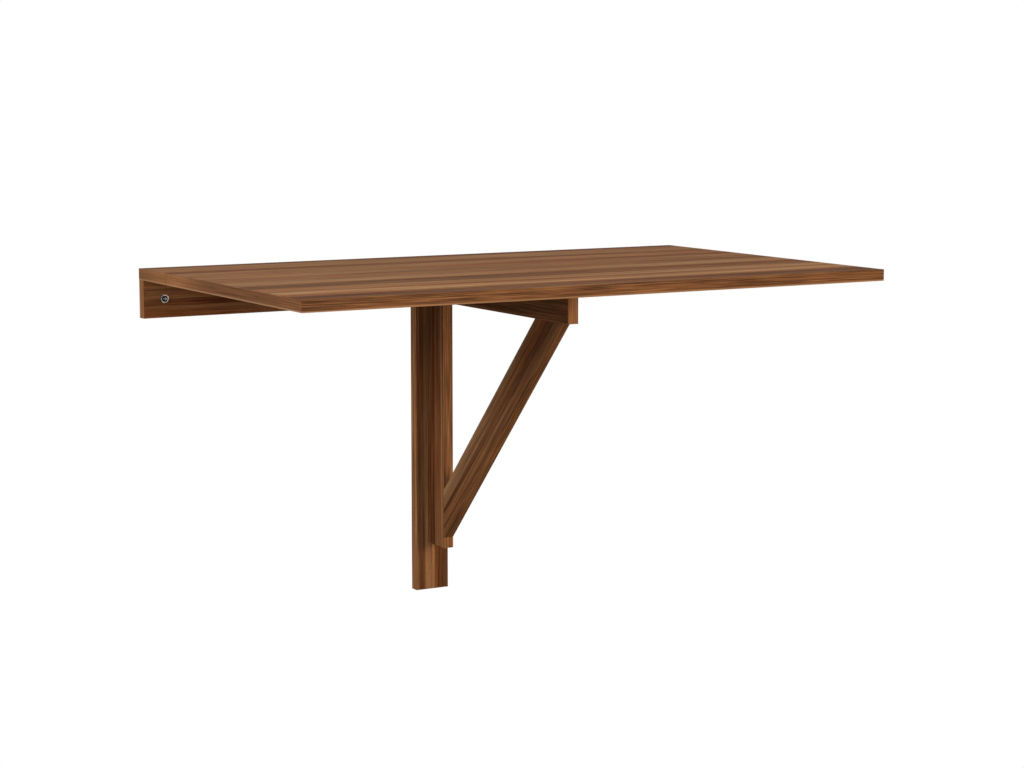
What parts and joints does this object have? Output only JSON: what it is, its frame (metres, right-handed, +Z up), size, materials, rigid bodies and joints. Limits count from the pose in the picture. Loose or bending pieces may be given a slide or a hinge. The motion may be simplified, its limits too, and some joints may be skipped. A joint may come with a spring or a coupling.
{
  "type": "wall mounted drop leaf table",
  "caption": "Wall table whose wide leaf is hinged to a narrow fixed strip and carried by a triangular bracket that swings flat against the wall.",
  "frame": {"origin": "on the wall plane, at the centre of the rail's back", "axes": "+X along the wall to the right as seen from the room, +Y into the wall, +Z up"},
  "size_m": [1, 0.642, 0.565],
  "materials": {
    "decor_board": "matt walnut lamella decor on particle board",
    "edge_band": "matt walnut print on ABS edging",
    "beech_dowel": "plain turned beech",
    "plated_steel": "bright zinc plating",
    "nylon_glide": "moulded brown nylon"
  },
  "bodies": {
    "wall_frame": {"wall_rail": "decor_board", "wall_post": "decor_board", "fixed_strip": "decor_board", "drop_leaf": "decor_board", "rail_edge_bands": "edge_band", "post_edge_bands": "edge_band", "strip_edge_bands": "edge_band", "leaf_edge_bands": "edge_band", "post_dowels": "beech_dowel", "strip_dowels": "beech_dowel", "angle_brackets": "plated_steel", "angle_bracket_screws": "plated_steel", "leaf_hinge_strip_plates": "plated_steel", "leaf_hinge_leaf_plates": "plated_steel", "leaf_hinge_pins": "plated_steel", "leaf_hinge_screws": "plated_steel", "swing_hinge_post_plates": "plated_steel", "swing_hinge_pins": "plated_steel", "swing_hinge_post_screws": "plated_steel", "rail_wall_screws": "plated_steel", "post_wall_screws": "plated_steel"},
    "swing_bracket": {"bracket_upright": "decor_board", "bracket_arm": "decor_board", "bracket_brace": "decor_board", "upright_edge_bands": "edge_band", "arm_edge_bands": "edge_band", "brace_edge_bands": "edge_band", "arm_dowels": "beech_dowel", "brace_dowels": "beech_dowel", "swing_hinge_upright_plates": "plated_steel", "swing_hinge_upright_screws": "plated_steel", "arm_glide": "nylon_glide"}
  },
  "joints": [
    {"name": "bracket_swing", "type": "hinge", "parent": "wall_frame", "child": "swing_bracket", "pos_m": [0.0231, -0.0211, -0.2305], "axis": [0, 0, 1], "range_deg": [0, 90]}
  ]
}
